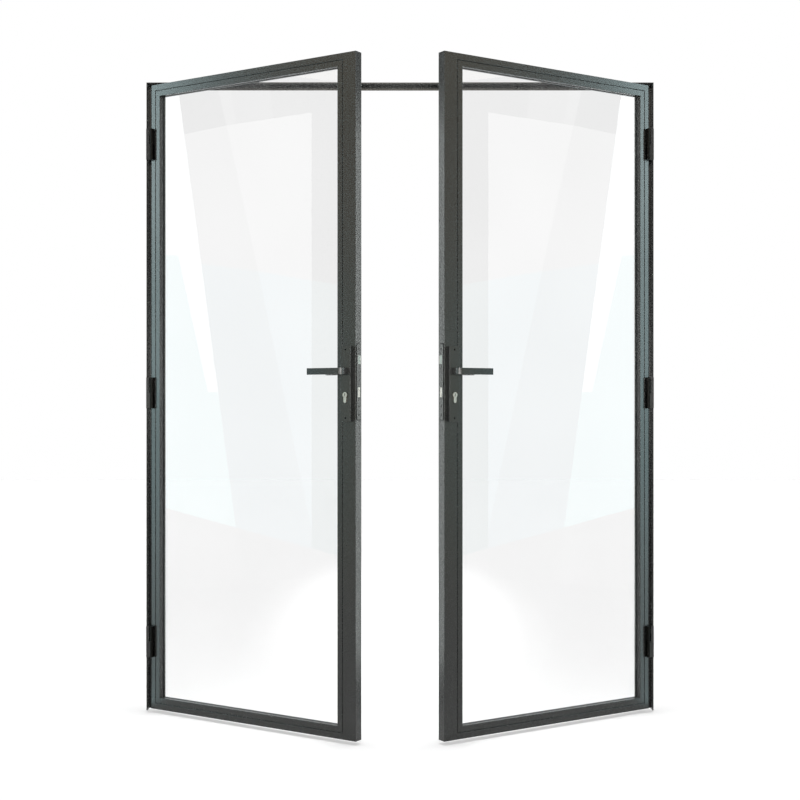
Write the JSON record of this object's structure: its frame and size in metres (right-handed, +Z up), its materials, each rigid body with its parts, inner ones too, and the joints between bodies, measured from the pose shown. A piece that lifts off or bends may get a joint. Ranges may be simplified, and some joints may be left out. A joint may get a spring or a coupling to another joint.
{
  "type": "glazed steel double door",
  "caption": "Slim dark steel double door in an angle frame: fully glazed leaves on barrel hinges, sprung bent-bar levers on long plates, mortice locks in the meeting edges.",
  "frame": {"origin": "on the outer face of the left jamb at floor level, at the middle of the frame's depth", "axes": "X to the right along the wall, Y away from the side the leaves open to, Z up"},
  "size_m": [1.708, 0.5169, 2.115],
  "materials": {
    "coated_steel": "fine textured powder coat",
    "clear_glass": "clear laminated",
    "black_gasket": "matt",
    "satin_nickel": "satin nickel",
    "bare_steel": "bare"
  },
  "bodies": {
    "door_frame": {"left_jamb": "coated_steel", "right_jamb": "coated_steel", "head": "coated_steel", "left_frame_hinges": "coated_steel", "right_frame_hinges": "coated_steel"},
    "left_leaf": {"left_hinge_stile": "coated_steel", "left_lock_stile": "coated_steel", "left_top_rail": "coated_steel", "left_bottom_rail": "coated_steel", "left_glass": "clear_glass", "left_glazing_beads": "coated_steel", "left_glazing_gaskets": "black_gasket", "left_leaf_hinges": "coated_steel", "left_mortice_lock": "coated_steel", "left_latch_bolt": "satin_nickel", "left_dead_bolt": "satin_nickel", "left_cylinder": "satin_nickel", "left_front_plate": "coated_steel", "left_back_plate": "coated_steel"},
    "left_lever": {"left_front_lever": "coated_steel", "left_back_lever": "coated_steel", "left_spindle": "bare_steel"},
    "right_leaf": {"right_hinge_stile": "coated_steel", "right_lock_stile": "coated_steel", "right_top_rail": "coated_steel", "right_bottom_rail": "coated_steel", "right_glass": "clear_glass", "right_glazing_beads": "coated_steel", "right_glazing_gaskets": "black_gasket", "right_leaf_hinges": "coated_steel", "right_mortice_lock": "coated_steel", "right_latch_bolt": "satin_nickel", "right_dead_bolt": "satin_nickel", "right_cylinder": "satin_nickel", "right_front_plate": "coated_steel", "right_back_plate": "coated_steel"},
    "right_lever": {"right_front_lever": "coated_steel", "right_back_lever": "coated_steel", "right_spindle": "bare_steel"}
  },
  "joints": [
    {"name": "left_leaf_swing", "type": "hinge", "parent": "door_frame", "child": "left_leaf", "pos_m": [0.019, -0.0285, 1.0575], "axis": [0, 0, -1], "range_deg": [-33, 137]},
    {"name": "right_leaf_swing", "type": "hinge", "parent": "door_frame", "child": "right_leaf", "pos_m": [1.689, -0.0285, 1.0575], "axis": [0, 0, 1], "range_deg": [-33, 137]},
    {"name": "left_lever_turn", "type": "hinge", "parent": "left_leaf", "child": "left_lever", "pos_m": [0.69543, -0.45943, 1.132], "axis": [-0.5446, -0.8387, 0], "range_deg": [0, 42], "stiffness_Nm_per_rad": 1.6, "springref_deg": -34.38},
    {"name": "right_lever_turn", "type": "hinge", "parent": "right_leaf", "child": "right_lever", "pos_m": [1.01257, -0.45943, 1.132], "axis": [-0.5446, 0.8387, 0], "range_deg": [0, 42], "stiffness_Nm_per_rad": 1.6, "springref_deg": -34.38}
  ]
}
